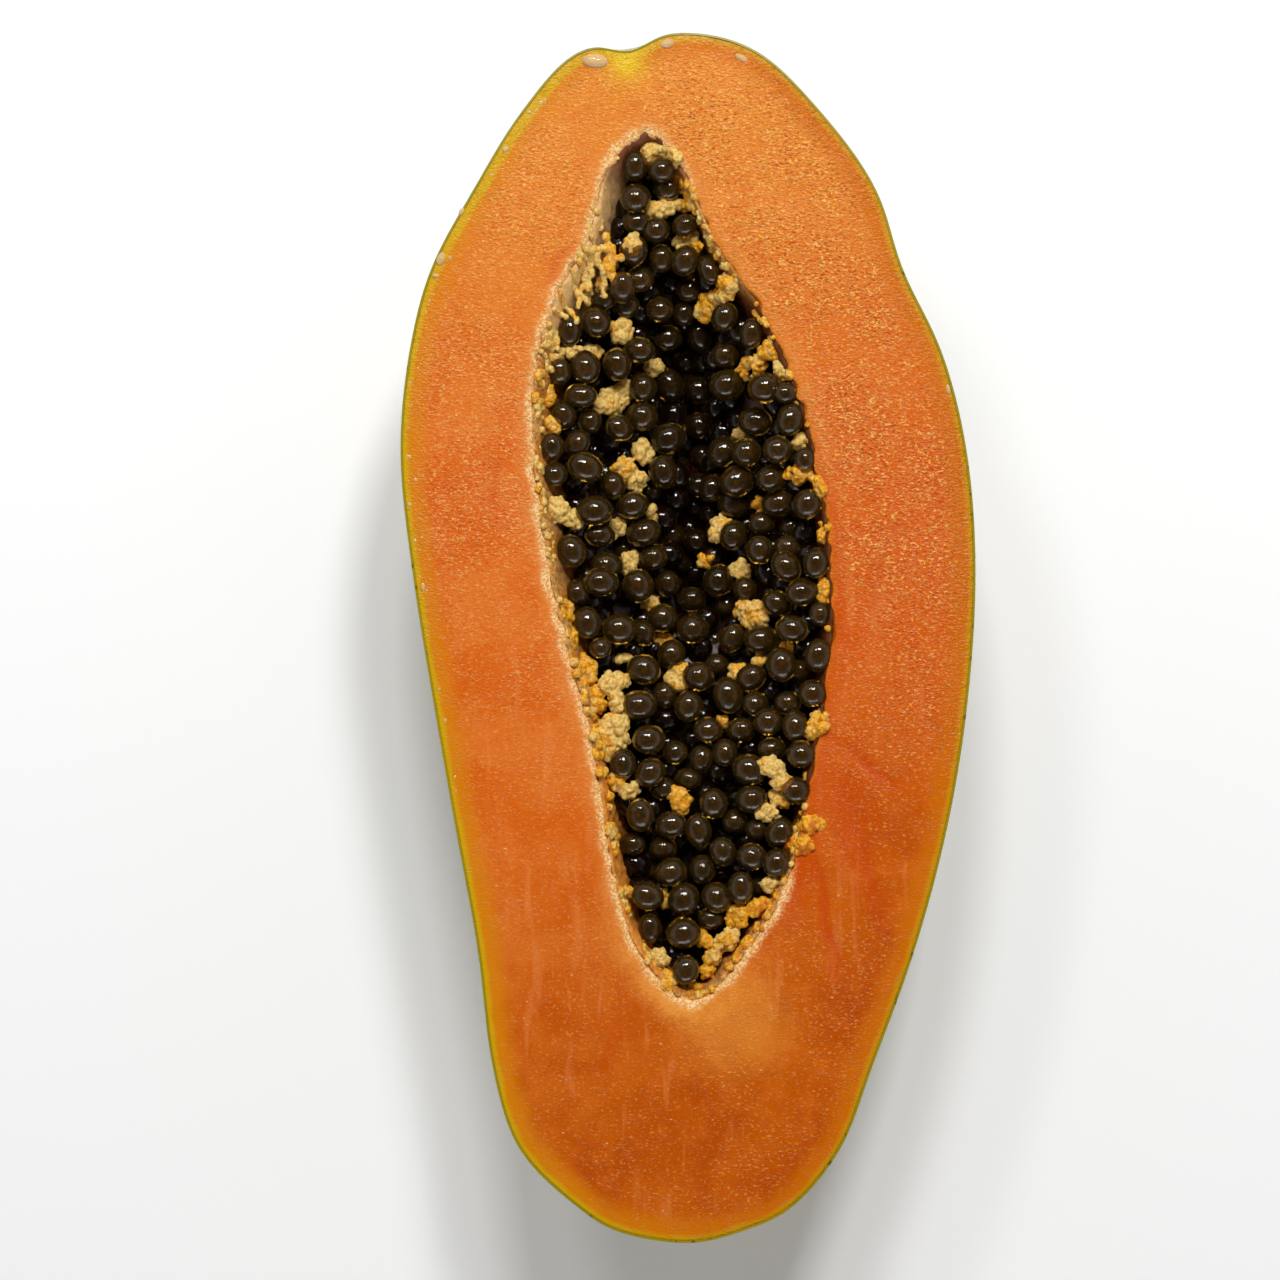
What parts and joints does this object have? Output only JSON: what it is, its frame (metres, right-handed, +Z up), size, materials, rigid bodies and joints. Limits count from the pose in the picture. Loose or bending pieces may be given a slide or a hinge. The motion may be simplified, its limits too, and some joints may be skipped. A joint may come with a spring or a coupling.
{
  "type": "papaya half",
  "caption": "Ripe papaya half cut lengthwise, its open cavity holding a heap of dark seeds, lying cut side up on its rounded skin.",
  "frame": {"origin": "middle of the footprint, on the surface that the half lies on", "axes": "+Y along the fruit to its stem end, +X to the right seen from above with the stem end up, +Z up out of the cut face"},
  "size_m": [0.1094, 0.23, 0.0494],
  "materials": {
    "flesh": "wet orange fruit flesh",
    "rind": "waxy green and yellow skin",
    "lining": "fuzzy pale cavity lining",
    "tissue": "crumbly moist seed tissue",
    "seeds": "glossy wet seed",
    "seed_coat": "clear olive jelly coat",
    "juice": "clear to milky droplets"
  },
  "bodies": {
    "root": {"flesh": "flesh", "seed_heap": "seeds"}
  },
  "joints": []
}
